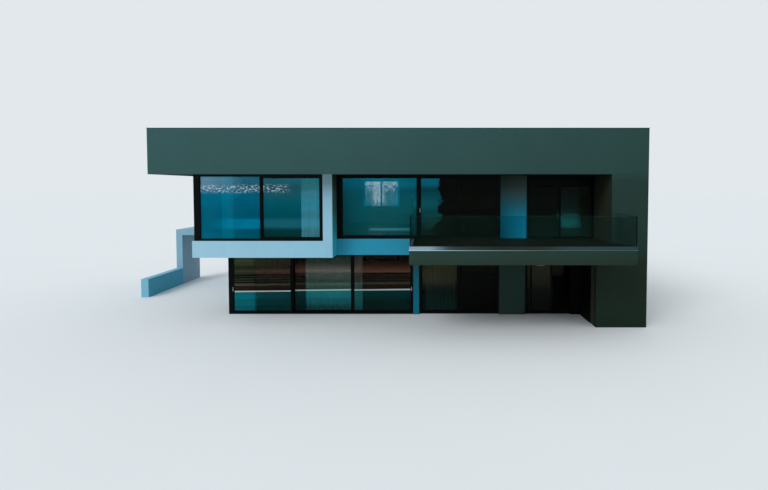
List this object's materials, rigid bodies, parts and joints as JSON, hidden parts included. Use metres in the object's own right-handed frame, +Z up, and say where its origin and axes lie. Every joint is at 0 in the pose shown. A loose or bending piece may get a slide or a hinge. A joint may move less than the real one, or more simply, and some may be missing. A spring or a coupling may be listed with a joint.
{
  "type": "two-storey beach house",
  "caption": "Flat-roofed beach house with a dark roof band, projecting window box, glass balcony, set-back sliding doors and a side portico.",
  "frame": {"origin": "middle of the footprint's bounding box, at ground level", "axes": "+X to the right of the garden front, +Y from the garden front to the rear, +Z up"},
  "size_m": [21.98, 13.535, 7.46],
  "materials": {
    "white_plaster": "smooth painted plaster",
    "shaded_plaster": "smooth painted plaster in the shade",
    "dark_render": "fine grey-green render",
    "floor_finish": "honed screed",
    "roof_finish": "gravelled membrane",
    "coping": "matt",
    "deck": "oiled boards",
    "channel_metal": "anodised",
    "drip_metal": "white",
    "balustrade_glass": "clear laminated",
    "dark_frame": "satin black",
    "window_glass": "tinted",
    "sill_stone": "honed",
    "door_paint": "satin",
    "lamp_white": "opal",
    "cladding": "matt"
  },
  "bodies": {
    "house": {"ground_floor_slab": "floor_finish", "left_ground_wall": "white_plaster", "rear_ground_wall": "white_plaster", "right_side_wall": "dark_render", "flank_front_wall": "dark_render", "flank_return_walls": "dark_render", "door_jamb_wall": "dark_render", "ground_pier": "shaded_plaster", "white_column": "shaded_plaster", "upper_floor_slab": "floor_finish", "box_sill_band": "white_plaster", "box_right_pier": "white_plaster", "left_upper_wall": "white_plaster", "mid_sill_band": "shaded_plaster", "balcony_upstand": "deck", "mid_return_wall": "white_plaster", "upper_pier": "shaded_plaster", "rear_upper_wall": "white_plaster", "front_fascia": "dark_render", "left_fascia": "dark_render", "rear_fascia": "dark_render", "roof_slab": "roof_finish", "parapet_coping": "coping", "balcony_slab": "dark_render", "balcony_paving": "deck", "balcony_channel": "channel_metal", "balcony_drip_edge": "drip_metal", "balustrade_glass": "balustrade_glass", "box_window_frame": "dark_frame", "box_window_sash": "dark_frame", "box_window_glass": "window_glass", "mid_window_frame": "dark_frame", "mid_window_sashes": "dark_frame", "mid_window_glass": "window_glass", "upper_door_frame": "dark_frame", "upper_door_glass": "window_glass", "shutter_box": "dark_frame", "living_frame": "dark_frame", "garden_window_frame": "dark_frame", "terrace_door_frame": "dark_frame", "ground_fixed_leaves": "dark_frame", "ground_fixed_glass": "window_glass", "small_window_frames": "dark_frame", "small_window_glass": "window_glass", "window_sills": "sill_stone", "rear_door": "door_paint", "balcony_lamp": "lamp_white", "return_cladding": "cladding", "portico_side_wall": "white_plaster", "portico_roof_slab": "white_plaster", "portico_low_wall": "white_plaster"},
    "living_left_door": {"living_left_leaf": "dark_frame", "living_left_glass": "window_glass"},
    "living_right_door": {"living_right_leaf": "dark_frame", "living_right_glass": "window_glass"},
    "garden_door": {"garden_leaf": "dark_frame", "garden_leaf_glass": "window_glass"},
    "terrace_door": {"terrace_door_leaf": "dark_frame", "terrace_door_glass": "window_glass"}
  },
  "joints": [
    {"name": "living_left_slide", "type": "slide", "parent": "house", "child": "living_left_door", "axis": [1, 0, 0], "range_m": [0, 2.4077]},
    {"name": "living_right_slide", "type": "slide", "parent": "house", "child": "living_right_door", "axis": [-1, 0, 0], "range_m": [0, 2.4077]},
    {"name": "garden_slide", "type": "slide", "parent": "house", "child": "garden_door", "axis": [-1, 0, 0], "range_m": [0, 1.5315]},
    {"name": "terrace_slide", "type": "slide", "parent": "house", "child": "terrace_door", "axis": [1, 0, 0], "range_m": [0, 0.7165]}
  ]
}
